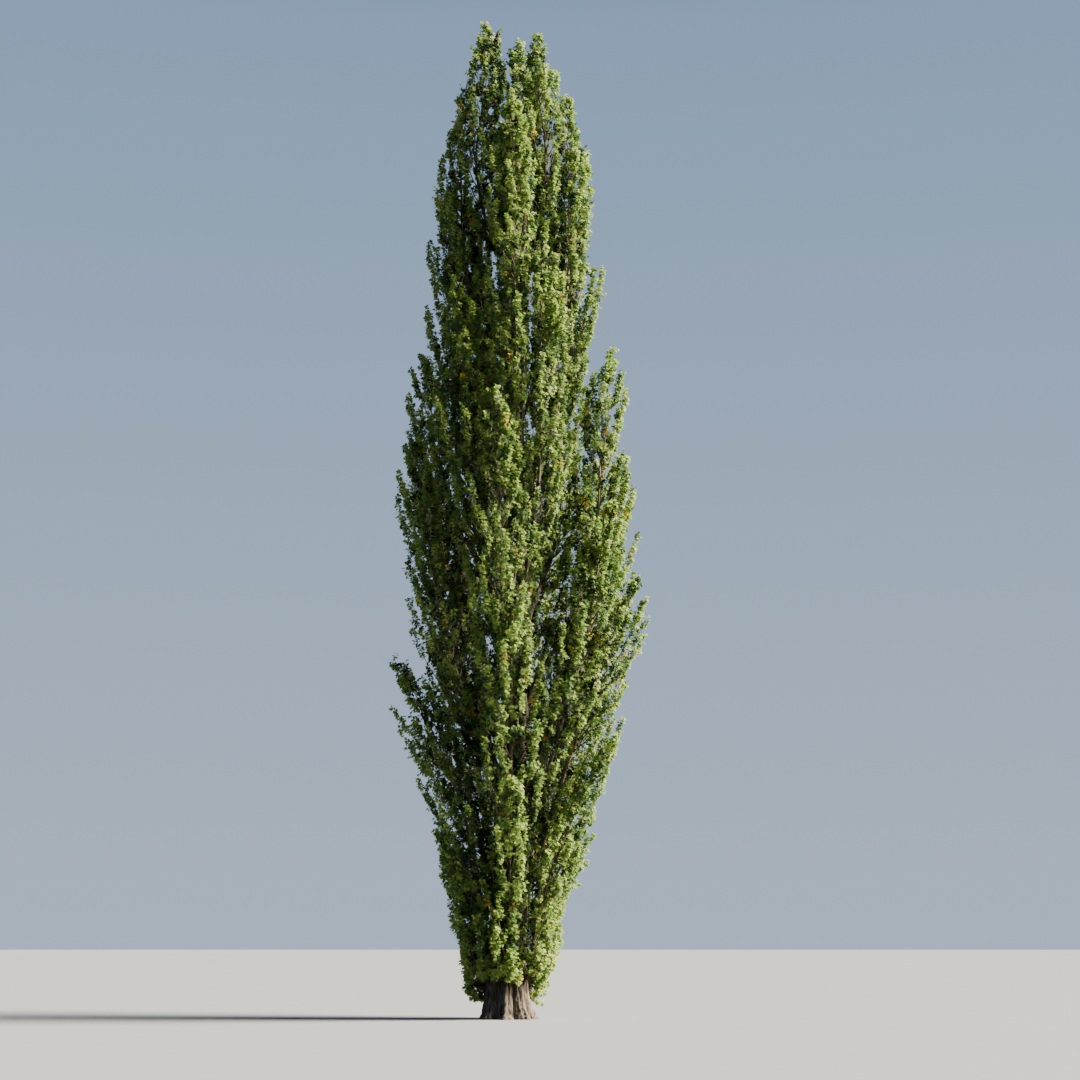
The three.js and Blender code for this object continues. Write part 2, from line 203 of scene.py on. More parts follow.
# Room that twigs and leaves keep to: round their own plume, finger and the CAD model's box, and clear of
# other plumes, the wood and the ground
LEAF_ROOM = 1.04
PLUME_GAP = 0.09
FINGER_GAP = 0.018
BOX_ROOM = 0.1
LIMB_CLEARANCE = 0.03
GROUND_CLEARANCE = 0.12

# How light a spray's tint is: by its place in the plume and the crown, as painted shade deeper in, by
# chance, and by painted sunlight low down on the sunny side. The steps part dark, deep, mid and light.
PAINTED_SHADE_BY_PLUME = 0.3
PAINTED_SHADE_BY_CROWN = 0.35
TINT_BY_CHANCE = 0.4
PAINTED_SUN_BY_SIDE = 0.08
TINT_STEPS = (0.46, 0.6, 0.84)
PAINTED_SUN_HEIGHT = 7
PAINTED_SUN_HALF_WIDTH = 3
PALE_SHARE = 0.06
PALE_FROM = 5
BRONZE_ABOVE = 0.988
YELLOW_ABOVE = 0.996
# One spray near the left shoulder has turned yellow
TURNED_PLUME = "shoulder_plume_1"
TURNED_HEIGHT = (22.45, 22.95)
TURNED_SHARE = 0.7

TINTS = {
    "dark": "#2C3F24",
    "deep": "#58753C",
    "mid": "#8DA853",
    "light": "#A9BC62",
    "pale": "#A9B47E",
    "yellow": "#BDA83C",
    "bronze": "#7F6E30",
}


def srgb(code):
    """A colour written as sRGB hex, as the linear values a shader takes."""
    values = [int(code[i:i + 2], 16) / 255 for i in (1, 3, 5)]
    return [v / 12.92 if v <= 0.04045 else ((v + 0.055) / 1.055) ** 2.4 for v in values] + [1]


def add_node(tree, kind, links=(), values=(), **settings):
    """Adds a node, sets its settings and input values, and links each input from another node's output."""
    node = tree.nodes.new(kind)
    for key, value in settings.items():
        setattr(node, key, value)
    for socket, value in dict(values).items():
        node.inputs[socket].default_value = value
    for socket, (source, output) in dict(links).items():
        tree.links.new(source.outputs[output], node.inputs[socket])
    return node


def new_material(name, roughness, specular=0.5):
    """A material with its shader ready, and the tree that its pattern is added to."""
    material = bpy.data.materials.new(name)
    material.use_nodes = True
    shader = material.node_tree.nodes["Principled BSDF"]
    shader.inputs["Roughness"].default_value = roughness
    shader.inputs["Specular IOR Level"].default_value = specular
    return material, material.node_tree, shader


def set_ramp(ramp, stops):
    """Gives a colour ramp its stops, as pairs of place and colour from its low end to its high end."""
    for place, _ in stops[1:-1]:
        ramp.elements.new(place)
    for element, (place, code) in zip(ramp.elements, stops):
        element.position = place
        element.color = srgb(code)


def leaf_material(name, code):
    """Poplar leaf: a thin waxed blade, so it has a soft gloss and glows where the sun is behind it."""
    material, tree, shader = new_material(f"poplar_leaf_{name}", roughness=0.55, specular=0.3)
    shader.inputs["Base Color"].default_value = srgb(code)
    glow = add_node(tree, "ShaderNodeBsdfTranslucent", values={"Color": srgb(code)})
    both = add_node(
        tree, "ShaderNodeMixShader", {1: (shader, "BSDF"), 2: (glow, "BSDF")}, {"Fac": LEAF_GLOW},
    )
    tree.links.new(both.outputs["Shader"], tree.nodes["Material Output"].inputs["Surface"])
    return material


def bark_material(name, furrow, ridge, crest, spacing, depth):
    """Poplar bark: corky ridges with furrows between them, drawn out along the trunk. It's dull and dry.
    The furrows are coloured darker, partly the bark's own colour and partly painted shade, and the crests
    paler, partly the bark's own colour and partly a painted highlight.
    """
    material, tree, shader = new_material(name, roughness=0.88, specular=0.2)
    place = add_node(tree, "ShaderNodeTexCoord")
    drawn_out = add_node(
        tree, "ShaderNodeMapping", {"Vector": (place, "Object")},
        {"Scale": (1 / spacing, 1 / spacing, GRAIN_STRETCH / spacing)},
    )
    ridges = add_node(
        tree, "ShaderNodeTexNoise", {"Vector": (drawn_out, "Vector")},
        {"Scale": 1.0, "Detail": 6.0, "Roughness": 0.62, "Distortion": 0.5},
    )
    # Colour from the same pattern as the bump: darker in the furrows, partly painted shade, and paler on
    # the crests, partly a painted highlight.
    colours = add_node(tree, "ShaderNodeValToRGB", {"Fac": (ridges, "Fac")})
    set_ramp(colours.color_ramp, list(zip(BARK_LEVELS, (furrow, ridge, crest))))
    bump = add_node(
        tree, "ShaderNodeBump", {"Height": (ridges, "Fac")}, {"Strength": 0.8, "Distance": depth},
    )
    tree.links.new(colours.outputs["Color"], shader.inputs["Base Color"])
    tree.links.new(bump.outputs["Normal"], shader.inputs["Normal"])
    return material


def twig_material():
    """Young poplar wood: smooth tan skin with a faint sheen."""
    material, _, shader = new_material("poplar_twig", roughness=0.6)
    shader.inputs["Base Color"].default_value = srgb("#6A5B41")
    return material


def lerp(ends, share):
    """The value that lies at a share of the way between two ends."""
    return ends[0] + (ends[1] - ends[0]) * share


def unit(vectors):
    """Vectors of the same directions and of length 1."""
    return vectors / np.maximum(np.linalg.norm(vectors, axis=-1, keepdims=True), 1e-9)


def trunk_axis(height):
    """The middle of the trunk at each height: it leans to the right and sways a little."""
    height = np.asarray(height, float)
    wave = 2 * math.pi * height / SWAY_LENGTH
    x = LEAN * height / TRUNK_HEIGHT + SWAY * np.sin(wave)
    return np.stack([x, SWAY * (1 - np.cos(wave)) / 2, height], axis=-1)


def trunk_radius(height):
    """The trunk's mean radius at each height, with its root flare."""
    wood = TRUNK_RADIUS * np.maximum(1 - np.asarray(height) / TRUNK_VANISH, 0) ** TAPER
    return wood + FLARE * np.exp(-np.asarray(height) / FLARE_HEIGHT)


def crown_reach(height):
    return np.interp(height, *zip(*CROWN_REACH))


def plume_width(plume, s):
    """A plume's half width by share of its length: rounded at the foot, widest midway, closed on top."""
    lower = np.sin(np.minimum(s / WIDEST_AT, 1) * math.pi / 2)
    closing = np.maximum((s - WIDEST_AT) / (1 - WIDEST_AT), 0) * math.pi / 2
    upper = np.maximum(np.cos(closing), 0) ** TIP_POWER
    return plume.half * np.where(s < WIDEST_AT, FOOT_WIDTH + (1 - FOOT_WIDTH) * lower, upper)


def plume_axis(plume, s):
    """A plume's middle line: it leaves the trunk and then runs up just inside the crown's outline."""
    s = np.asarray(s, float)
    height = plume.foot + (plume.tip - plume.foot) * s
    outward = 1 - (1 - s) ** OUTWARD_POWER
    width = np.maximum(plume_width(plume, s), TIP_INSET * plume.half)
    edge = crown_reach(height) - EDGE_SHARE * width
    radius = plume.start + (edge - plume.start) * outward
    centre = trunk_axis(height)
    centre[..., 0] += radius * math.cos(plume.bearing)
    centre[..., 1] += radius * math.sin(plume.bearing)
    return centre


def plume_heading(plume, s):
    """The direction of a plume's axis at each share of its length."""
    above = plume_axis(plume, np.minimum(s + HEADING_STEP, 1))
    return unit(above - plume_axis(plume, np.maximum(s - HEADING_STEP, 0)))


def beside_axis(plume, s, angle, radius):
    """Points beside a plume's axis, by share of its length, angle round the axis and radius."""
    along = plume_heading(plume, s)
    across = unit(np.cross([0.0, 1.0, 0.0], along))
    side = np.cross(along, across)
    out = across * np.cos(angle)[..., None] + side * np.sin(angle)[..., None]
    return plume_axis(plume, s) + out * np.asarray(radius)[..., None]


def fork_height(plume):
    """How high a plume's bough or stem leaves the trunk."""
    outward = plume.start - trunk_radius(plume.foot)
    return max(plume.foot - BOUGH_RISE - BOUGH_STEEPNESS * outward, LOWEST_FORK)


def make_plumes():
    """All the plumes with their places and widths, and for each of them the plumes that it meets."""
    plumes = []
    for tier, (turn, length, half, start, bough, tips) in TIERS.items():
        for i, tip in enumerate(tips):
            bearing = math.radians(turn + 360 * i / len(tips))
            lowest = FRONT_FOOT if math.sin(bearing) < FRONT_SECTOR else LOWEST_FOOT
            foot = max(tip - length, lowest)
            plume = SimpleNamespace(tier=tier, name=f"{tier}_plume_{i + 1}", bearing=bearing, tip=tip)
            plume.foot, plume.half, plume.bough = foot, half, bough
            plume.start = max(start * crown_reach(foot), trunk_radius(foot) + 2 * STEM_RADIUS)
            s = np.linspace(0, 1, SAMPLES)
            plume.places = plume_axis(plume, s)
            plume.widths = np.maximum(plume_width(plume, s), LEAST_WIDTH)
            plume.rng = np.random.default_rng(FIRST_SEED + len(plumes))
            plumes.append(plume)
    for plume in plumes:
        plume.rivals = [other for other in plumes if other is not plume and meets(plume, other)]
    return plumes


def meets(plume, other):
    """Whether two plumes are near enough to share room."""
    gaps = np.linalg.norm(plume.places[:, None] - other.places[None], axis=-1)
    return gaps.min() < plume.half + other.half


def fill(plume, points):
    """How much of a plume's width each point uses up: 0 on its axis and 1 at its edge."""
    gaps = np.linalg.norm(points[:, None] - plume.places[None], axis=-1)
    return (gaps / plume.widths).min(axis=1)


def is_own(plume, points, share, margin):
    """Whether each point lies within a plume and fills it less than any other one."""
    own = fill(plume, points)
    nearest = np.min([fill(other, points) for other in plume.rivals], axis=0)
    return (own <= share) & (nearest > own + margin)


def bezier(start, bend, end, t):
    t = np.asarray(t)[..., None]
    return (1 - t) ** 2 * start + 2 * t * (1 - t) * bend + t ** 2 * end


def bough_path(plume, count):
    """A bough's middle line, from the trunk's own to the foot of its plume."""
    start = trunk_axis(fork_height(plume))
    end = plume.places[0]
    heading = unit(plume_axis(plume, 1 / SAMPLES) - end)
    bend = end - heading * BOUGH_BEND * np.linalg.norm(end - start)
    return bezier(start, bend, end, np.linspace(0, 1, count))


def leader_path(plume, count):
    """The limb that runs up the middle of a plume, from its bough's tip or out of the trunk."""
    if plume.bough:
        return plume_axis(plume, np.linspace(0, 1, count))
    root = trunk_axis(fork_height(plume))
    stem = bezier(root, plume.places[0], plume_axis(plume, STEM_SHARE), np.linspace(0, 1, STEM_POINTS))
    rest = np.linspace(STEM_SHARE, 1, count - STEM_POINTS + 1)
    return np.concatenate([stem[:-1], plume_axis(plume, rest)])


def clear_of_limbs(points, balls):
    """Whether each point keeps off the trunk and the boughs."""
    axis = trunk_axis(np.clip(points[:, 2], 0, TRUNK_HEIGHT))
    off_trunk = np.linalg.norm(points - axis, axis=1) > trunk_radius(points[:, 2]) + LIMB_CLEARANCE
    centres, radii = balls
    near = np.linalg.norm(points[:, None] - centres[None], axis=-1) > radii + LIMB_CLEARANCE
    return off_trunk & near.all(axis=1)


def grow_fingers(plume):
    """Paths of the steep shoots that leave the leader, swing out and then stand upright."""
    rng = plume.rng
    k = np.arange(FINGER_TRIES)
    s = FINGERS_FROM + (1 - FINGERS_FROM) * ((k * SPREAD[0] + HEIGHT_CHANCE * rng.random(len(k))) % 1)
    angle = plume.bearing + 2 * math.pi * ((k * SPREAD[1]) % 1) + BEARING_CHANCE * rng.normal(size=len(k))
    width = plume_width(plume, s)
    reach = lerp(FINGER_REACH, rng.random(len(k)) ** FINGER_REACH_POWER)
    kept = np.zeros(len(k), bool)
    for pull in FINGER_PULLS:
        ends = beside_axis(plume, s, angle, width * reach * pull)
        fits = is_own(plume, ends, 1, FINGER_MARGIN) & ~kept
        reach = np.where(fits, reach * pull, reach)
        kept |= fits
    chosen = np.flatnonzero(kept)[:FINGERS]
    s, angle, out = s[chosen], angle[chosen], (width * reach)[chosen]
    length = np.linalg.norm(np.diff(plume.places, axis=0), axis=1).sum()
    low = np.maximum(s - (FINGER_RISE * out + FINGER_FOOT) / length, FINGER_LOWEST)
    bend = beside_axis(plume, low + FINGER_BEND_AT * (s - low), angle, FINGER_BEND_OUT * out)
    t = np.linspace(0, 1, FINGER_POINTS)[None, :]
    start = plume_axis(plume, low)[:, None]
    end = beside_axis(plume, s, angle, out)[:, None]
    paths = bezier(start, bend[:, None], end, np.repeat(t, len(s), axis=0))
    wobble = FINGER_WOBBLE * rng.normal(size=paths.shape) * np.sin(math.pi * t)[..., None]
    spire = plume_axis(plume, np.linspace(SPIRE_FROM, 1, FINGER_POINTS))[None]
    return np.concatenate([paths + wobble, spire])


def frame_of(along, rng):
    """Two directions across each direction, turned by chance."""
    other = unit(np.cross(along, rng.normal(size=along.shape)))
    return other, np.cross(along, other)


def points_along(paths, t):
    """Points and directions on each path at each share of its length. t has a row for each path."""
    place = t * (paths.shape[1] - 1)
    low = np.minimum(place.astype(int), paths.shape[1] - 2)
    rows = np.arange(len(paths))[:, None]
    start, end = paths[rows, low], paths[rows, low + 1]
    return start + (end - start) * (place - low)[..., None], unit(end - start)


def grow_twigs(paths, rng):
    """Short twigs in a spiral round each finger, longest at its foot."""
    count = TWIGS_PER_FINGER
    share = (np.arange(count) + TWIG_CHANCE * rng.random((len(paths), count))) / count
    roots, along = points_along(paths, lerp(TWIGS_ALONG, share))
    across, side = frame_of(along, rng)
    turn = GOLDEN_ANGLE * np.arange(count) + 2 * math.pi * rng.random((len(paths), 1))
    out = across * np.cos(turn)[..., None] + side * np.sin(turn)[..., None]
    angle = lerp(TWIG_ANGLE, share)[..., None]
    aim = along * np.cos(angle) + out * np.sin(angle)
    length = (lerp(TWIG_LENGTH, share) * rng.uniform(*TWIG_LENGTH_CHANCE, share.shape))[..., None]
    tips = roots + unit(aim + [0, 0, TWIG_LIFT]) * length
    owners = np.repeat(np.arange(len(paths)), count)
    return np.stack([roots, tips], axis=2).reshape(-1, 2, 3), owners, share.reshape(-1)


def nearest_to_own(points, owners, paths):
    """Whether each point lies nearer to its own finger than to any other one, so that gaps stay between."""
    gaps = np.linalg.norm(points[:, None, None] - paths[None], axis=-1).min(axis=2)
    rows = np.arange(len(points))
    own = gaps[rows, owners]
    gaps[rows, owners] = np.inf
    return gaps.min(axis=1) > own + FINGER_GAP


def grow_leaves(twigs, share, rng):
    """Leaves set in a spiral along each twig, each turned its own way on its stalk."""
    count = LEAVES_PER_TWIG
    t = (np.arange(count) + rng.random((len(twigs), count))) / count
    roots, along = points_along(twigs, np.clip(t * TIP_CROWDING, 0, 1))
    across, side = frame_of(along, rng)
    turn = GOLDEN_ANGLE * np.arange(count) + 2 * math.pi * rng.random((len(twigs), 1))
    out = across * np.cos(turn)[..., None] + side * np.sin(turn)[..., None]
    chance = LEAF_CHANCE * rng.normal(size=out.shape)
    aim = unit(LEAF_FORWARD * along + LEAF_OUTWARD * out + chance - [0, 0, LEAF_DROOP])
    face = along + FACE_CHANCE * rng.normal(size=aim.shape) + [0, 0, FACE_UPWARD]
    face = unit(face - aim * (face * aim).sum(axis=-1, keepdims=True))
    size = rng.uniform(*LEAF_LENGTH, t.shape) * lerp((1, TIP_LEAVES), share)[:, None]
    return roots + aim * STALK, aim, face, size


def tint_numbers(plume, places, rng):
    """Each spray's tint: deeper inside the plume and the crown and lighter at their edges, which is painted
    shade, lighter still low on the sunny side, which is painted sunlight, and a few turned.
    """
    names = list(TINTS)
    height = places[:, 2]
    # Painted shade: sprays deep in their plume or near the middle of the crown get darker tints.
    plume_painted_light = np.clip(fill(plume, places), 0, 1)
    crown_painted_light = np.clip(np.linalg.norm(places - trunk_axis(height), axis=1) / crown_reach(height), 0, 1)
    # Painted sunlight: sprays low down on the right, where the key light falls, get lighter tints.
    sunny = np.clip(0.5 + places[:, 0] / PAINTED_SUN_HALF_WIDTH, 0, 1)
    painted_sunlight = np.clip((PAINTED_SUN_HEIGHT - height) / PAINTED_SUN_HEIGHT, 0, 1) * sunny
    light = PAINTED_SHADE_BY_PLUME * plume_painted_light + PAINTED_SHADE_BY_CROWN * crown_painted_light
    light = light + TINT_BY_CHANCE * rng.random(len(places)) + PAINTED_SUN_BY_SIDE * painted_sunlight
    number = np.digitize(light, TINT_STEPS)
    chance = rng.random(len(places))
    number = np.where((chance < PALE_SHARE) & (height > PALE_FROM), names.index("pale"), number)
    number = np.where(chance > BRONZE_ABOVE, names.index("bronze"), number)
    number = np.where(chance > YELLOW_ABOVE, names.index("yellow"), number)
    turned = (height > TURNED_HEIGHT[0]) & (height < TURNED_HEIGHT[1]) & (chance > 1 - TURNED_SHARE)
    return np.where(turned & (plume.name == TURNED_PLUME), names.index("yellow"), number)


def in_box(points):
    """Whether each point lies within the CAD model's box or just outside it, so that the size is kept."""
    low, high = (np.array(corner) for corner in cad_box)
    return ((points > low - BOX_ROOM) & (points < high + BOX_ROOM)).all(axis=1)


def grow_plume(plume, balls):
    """All the limbs and leaves of a plume. What would leave its room or touch a limb isn't grown."""
    rng = plume.rng
    fingers = grow_fingers(plume)
    twigs, owners, share = grow_twigs(fingers, rng)
    tips = twigs[:, 1]
    fits = is_own(plume, tips, LEAF_ROOM, PLUME_GAP) & clear_of_limbs(tips, balls)
    fits &= nearest_to_own(tips, owners, fingers) & in_box(tips) & (tips[:, 2] > GROUND_CLEARANCE)
    twigs = twigs[fits]
    roots, aim, face, size = grow_leaves(twigs, share[fits], rng)
    tint = np.repeat(tint_numbers(plume, twigs[:, 1], rng), LEAVES_PER_TWIG)
    roots, aim, face = (values.reshape(-1, 3) for values in (roots, aim, face))
    size = size.reshape(-1)
    ends = roots + aim * size[:, None]
    fits = is_own(plume, ends, LEAF_ROOM, 0) & clear_of_limbs(ends, balls)
    fits &= in_box(ends) & (ends[:, 2] > GROUND_CLEARANCE)
    leaves = (roots[fits], aim[fits], face[fits], size[fits], tint[fits])
    return fingers, twigs, leaves


def wire_mesh(name, paths, radii):
    """A mesh of loose edges along the paths, with a radius at each point."""
    points = np.concatenate(paths)
    edges = []
    first = 0
    for path in paths:
        places = np.arange(first, first + len(path))
        edges.append(np.stack([places[:-1], places[1:]], axis=1))
        first += len(path)
    mesh = bpy.data.meshes.new(name)
    mesh.vertices.add(len(points))
    mesh.vertices.foreach_set("co", points.astype(np.float32).ravel())
    pairs = np.concatenate(edges)
    mesh.edges.add(len(pairs))
    mesh.edges.foreach_set("vertices", pairs.astype(np.int32).ravel())
    store(mesh, "thickness", "FLOAT", np.concatenate(radii))
    return mesh


def store(mesh, name, kind, values):
    attribute = mesh.attributes.new(name, kind, "POINT")
    key = "vector" if kind == "FLOAT_VECTOR" else "value"
    dtype = np.int32 if kind == "INT" else np.float32
    attribute.data.foreach_set(key, np.ascontiguousarray(values, dtype).ravel())


def new_tree(name, sockets):
    """A Geometry Nodes tree with a geometry in and out, and named inputs for its sizes."""
    tree = bpy.data.node_groups.new(name, "GeometryNodeTree")
    tree.interface.new_socket("Geometry", in_out="INPUT", socket_type="NodeSocketGeometry")
    for label, kind in sockets.items():
        tree.interface.new_socket(label, in_out="INPUT", socket_type=kind)
    tree.interface.new_socket("Geometry", in_out="OUTPUT", socket_type="NodeSocketGeometry")
    return tree, add_node(tree, "NodeGroupInput"), add_node(tree, "NodeGroupOutput")


def limb_tree():
    """Runs a round section along each path, as thick as the path says, with an uneven skin."""
    tree, given, made = new_tree("limbs", {
        "Sides": "NodeSocketInt", "Relief": "NodeSocketFloat", "Relief size": "NodeSocketFloat",
        "Bark": "NodeSocketMaterial",
    })
    thickness = add_node(
        tree, "GeometryNodeInputNamedAttribute", values={"Name": "thickness"}, data_type="FLOAT",
    )
    paths = add_node(tree, "GeometryNodeMeshToCurve", {"Mesh": (given, "Geometry")})
    sized = add_node(
        tree, "GeometryNodeSetCurveRadius",
        {"Curve": (paths, "Curve"), "Radius": (thickness, "Attribute")},
    )
    section = add_node(
        tree, "GeometryNodeCurvePrimitiveCircle", {"Resolution": (given, "Sides")}, {"Radius": 1},
    )
    tube = add_node(
        tree, "GeometryNodeCurveToMesh",
        {"Curve": (sized, "Curve"), "Profile Curve": (section, "Curve")}, {"Fill Caps": True},
    )
    if "Scale" in tube.inputs:
        tree.links.new(thickness.outputs["Attribute"], tube.inputs["Scale"])
    grain = add_node(tree, "ShaderNodeTexNoise", {"Scale": (given, "Relief size")}, {"Detail": 3})
    height = add_node(tree, "ShaderNodeMath", {0: (grain, "Fac")}, {1: 0.5}, operation="SUBTRACT")
    lift = add_node(
        tree, "ShaderNodeMath", {0: (height, "Value"), 1: (given, "Relief")}, operation="MULTIPLY",
    )
    facing = add_node(tree, "GeometryNodeInputNormal")
    offset = add_node(
        tree, "ShaderNodeVectorMath", {0: (facing, "Normal"), "Scale": (lift, "Value")}, operation="SCALE",
    )
    ridged = add_node(
        tree, "GeometryNodeSetPosition", {"Geometry": (tube, "Mesh"), "Offset": (offset, "Vector")},
    )
    real = add_node(tree, "GeometryNodeRealizeInstances", {"Geometry": (ridged, "Geometry")})
    clad = add_node(
        tree, "GeometryNodeSetMaterial", {"Geometry": (real, "Geometry"), "Material": (given, "Bark")},
    )
    tree.links.new(clad.outputs["Geometry"], made.inputs["Geometry"])
    return tree


def leaf_tree(materials):
    """Sets a leaf on each point, turned and sized as the point says, in the tint of its spray."""
    tree, given, made = new_tree("leaves", {"Blade": "NodeSocketObject", "Leaf size": "NodeSocketFloat"})

    def read(name, kind):
        node = add_node(tree, "GeometryNodeInputNamedAttribute", values={"Name": name}, data_type=kind)
        return (node, "Attribute")

    blade = add_node(tree, "GeometryNodeObjectInfo", {"Object": (given, "Blade")})
    turned = add_node(
        tree, "FunctionNodeAxesToRotation",
        {"Primary Axis": read("aim", "FLOAT_VECTOR"), "Secondary Axis": read("face", "FLOAT_VECTOR")},
        primary_axis="X", secondary_axis="Z",
    )
    size = add_node(
        tree, "ShaderNodeMath", {0: read("size", "FLOAT"), 1: (given, "Leaf size")}, operation="MULTIPLY",
    )
    leaves = add_node(tree, "GeometryNodeInstanceOnPoints", {
        "Points": (given, "Geometry"), "Instance": (blade, "Geometry"),
        "Rotation": (turned, "Rotation"), "Scale": (size, "Value"),
    })
    last = (add_node(tree, "GeometryNodeRealizeInstances", {"Geometry": (leaves, "Instances")}), "Geometry")
    for number, material in enumerate(materials):
        spray = add_node(
            tree, "FunctionNodeCompare", {2: read("tint", "INT")}, {3: number},
            data_type="INT", operation="EQUAL",
        )
        last = (add_node(
            tree, "GeometryNodeSetMaterial", {"Geometry": last, "Selection": (spray, "Result")},
            {"Material": material},
        ), "Geometry")
    tree.links.new(last[0].outputs["Geometry"], made.inputs["Geometry"])
    return tree


def grown(name, mesh, tree, **inputs):
    """Runs a tree on a mesh and returns the result as a plain object, with the modifier gone."""
    source = bpy.data.objects.new(f"{name}_source", mesh)
    bpy.context.scene.collection.objects.link(source)
    modifier = source.modifiers.new("grow", "NODES")
    modifier.node_group = tree
    for item in tree.interface.items_tree:
        label = item.name.lower().replace(" ", "_")
        if item.in_out == "INPUT" and label in inputs:
            modifier[item.identifier] = inputs[label]
    evaluated = source.evaluated_get(bpy.context.evaluated_depsgraph_get())
    result = bpy.data.meshes.new_from_object(evaluated)
    result.name = name
    bpy.data.objects.remove(source)
    piece = bpy.data.objects.new(name, result)
    bpy.context.scene.collection.objects.link(piece)
    return piece


def keep(piece, slot, *nodes):
    """Fastens a finished piece to the tree, in the place of its CAD nodes."""
    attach(piece, "root")
    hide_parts(*nodes)


def leaf_blade():
    """A poplar leaf of length 1: a kite, broad near its base and long at its tip, folded on its rib."""
    outline = [(0, 0, 0), (0.36, -0.47, 0.1), (1, 0, 0), (0.36, 0.47, 0.1)]
    mesh = bpy.data.meshes.new("blade")
    mesh.from_pydata(outline, [], [(0, 1, 2), (0, 2, 3)])
    blade = bpy.data.objects.new("blade", mesh)
    bpy.context.scene.collection.objects.link(blade)
    return blade


def trunk_surface(height, angle):
    """The trunk's radius at a height and angle, with flutes, ribs and furrowed bark cut into its round."""
    fading = math.exp(-height / FLUTE_HEIGHT)
    flute = FLUTE_DEPTH * fading * (math.cos(FLUTES * angle) - 1)
    spur = FLARE * SPUR_SHARE * math.exp(-height / FLARE_HEIGHT) * math.cos(angle - SPUR_BEARING)
    groove = (1 - abs(math.sin(RIBS / 2 * angle + RIB_TWIST * height))) ** RIB_SHARPNESS
    radius = trunk_radius(height) * (1 + flute) + spur - RIB_GROOVE * fading * groove
    place = Vector((math.cos(angle) * radius, math.sin(angle) * radius, height * GRAIN_STRETCH))
    furrow = 1 - abs(2 * noise.fractal(place / FURROW_SPACING, *FURROW_NOISE))
    return radius + FURROW_DEPTH * min(radius / TRUNK_RADIUS, 1) * (furrow - FURROW_LEVEL)


def make_trunk(material):
    """The whole trunk, from its flat cut to its tip, as one closed skin."""
    heights = TRUNK_HEIGHT * np.linspace(0, 1, TRUNK_RINGS) ** RING_CROWDING
    angles = np.linspace(0, 2 * math.pi, TRUNK_SIDES, endpoint=False)
    points = []
    for height in heights:
        centre = trunk_axis(height)
        for angle in angles:
            radius = trunk_surface(height, angle)
            across = (centre[0] + radius * math.cos(angle), centre[1] + radius * math.sin(angle))
            points.append((*across, height))
    ring = np.arange(TRUNK_SIDES)
    after = (ring + 1) % TRUNK_SIDES
    faces = []
    for k in range(TRUNK_RINGS - 1):
        low = k * TRUNK_SIDES
        high = low + TRUNK_SIDES
        faces += np.stack([low + ring, low + after, high + after, high + ring], axis=1).tolist()
    faces.append(ring[::-1].tolist())
    faces.append((ring + (TRUNK_RINGS - 1) * TRUNK_SIDES).tolist())
    mesh = bpy.data.meshes.new("trunk_bark")
    mesh.from_pydata(points, [], faces)
    mesh.shade_smooth()
    mesh.materials.append(material)
    piece = bpy.data.objects.new("trunk_bark", mesh)
    bpy.context.scene.collection.objects.link(piece)
    keep(piece, "bark", "trunk")


def thinning(count, foot, tip, power=1.0):
    """Radii of a limb that thins from its foot to its tip."""
    return tip + (foot - tip) * (1 - np.linspace(0, 1, count)) ** power


def bough_wire(plumes, count):
    """The plumes that a bough carries, and the path and radii of each of those boughs."""
    carried = [plume for plume in plumes if plume.bough]
    paths = [bough_path(plume, count) for plume in carried]
    radii = [plume.bough * thinning(count, 1, BOUGH_TIP) for plume in carried]
    return carried, paths, radii


def make_boughs(plumes, tree, bark):
    """All the boughs, as one piece."""
    carried, paths, radii = bough_wire(plumes, BOUGH_POINTS)
    piece = grown("boughs", wire_mesh("boughs", paths, radii), tree, **BOUGH_SKIN, bark=bark)
    nodes = [plume.name.replace("plume", "bough") for plume in carried]
    keep(piece, "bark", *nodes)


def branch_wire(plume, fingers):
    """The paths and radii of a plume's leader and fingers."""
    leader = leader_path(plume, LEADER_POINTS)
    foot = plume.bough * BOUGH_TIP if plume.bough else STEM_RADIUS
    radii = [thinning(len(leader), foot, LEADER_TIP, LEADER_TAPER)]
    for finger in fingers:
        span = np.linalg.norm(finger[-1] - finger[0])
        thick = lerp(FINGER_RADIUS, min(span / LONG_FINGER, 1))
        radii.append(thinning(FINGER_POINTS, thick, FINGER_TIP))
    return [leader, *fingers], radii


def leaf_points(parts):
    """A mesh with a point for each leaf, which says how the leaf is turned, sized and tinted."""
    roots, aim, face, size, tint = (np.concatenate(values) for values in zip(*parts))
    mesh = bpy.data.meshes.new("leaf_points")
    mesh.vertices.add(len(roots))
    mesh.vertices.foreach_set("co", roots.astype(np.float32).ravel())
    store(mesh, "aim", "FLOAT_VECTOR", aim)
    store(mesh, "face", "FLOAT_VECTOR", face)
    store(mesh, "size", "FLOAT", size)
    store(mesh, "tint", "INT", tint)
    return mesh


def make_tier(tier, plumes, balls, trees, materials, blade):
    """The branches, twigs and leaves of one tier of plumes, each kind in a piece of its own."""
    limbs, limb_radii, twigs, parts = [], [], [], []
    for plume in plumes:
        fingers, shoots, leaves = grow_plume(plume, balls)
        paths, radii = branch_wire(plume, fingers)
        limbs += paths
        limb_radii += radii
        twigs += list(shoots)
        parts.append(leaves)
    nodes = [plume.name for plume in plumes]
    limb_mesh = wire_mesh("branches", limbs, limb_radii)
    branches = grown(f"{tier}_branches", limb_mesh, trees.limb, **BRANCH_SKIN, bark=materials.branch)
    keep(branches, "bark", *nodes)
    twig_mesh = wire_mesh("twigs", twigs, [TWIG_RADIUS * np.array(TWIG_TAPER)] * len(twigs))
    sprigs = grown(f"{tier}_twigs", twig_mesh, trees.limb, **TWIG_SKIN, bark=materials.twig)
    keep(sprigs, "bark", *nodes)
    leaves = grown(f"{tier}_leaves", leaf_points(parts), trees.leaf, blade=blade, leaf_size=1.0)
    keep(leaves, "foliage", *nodes)


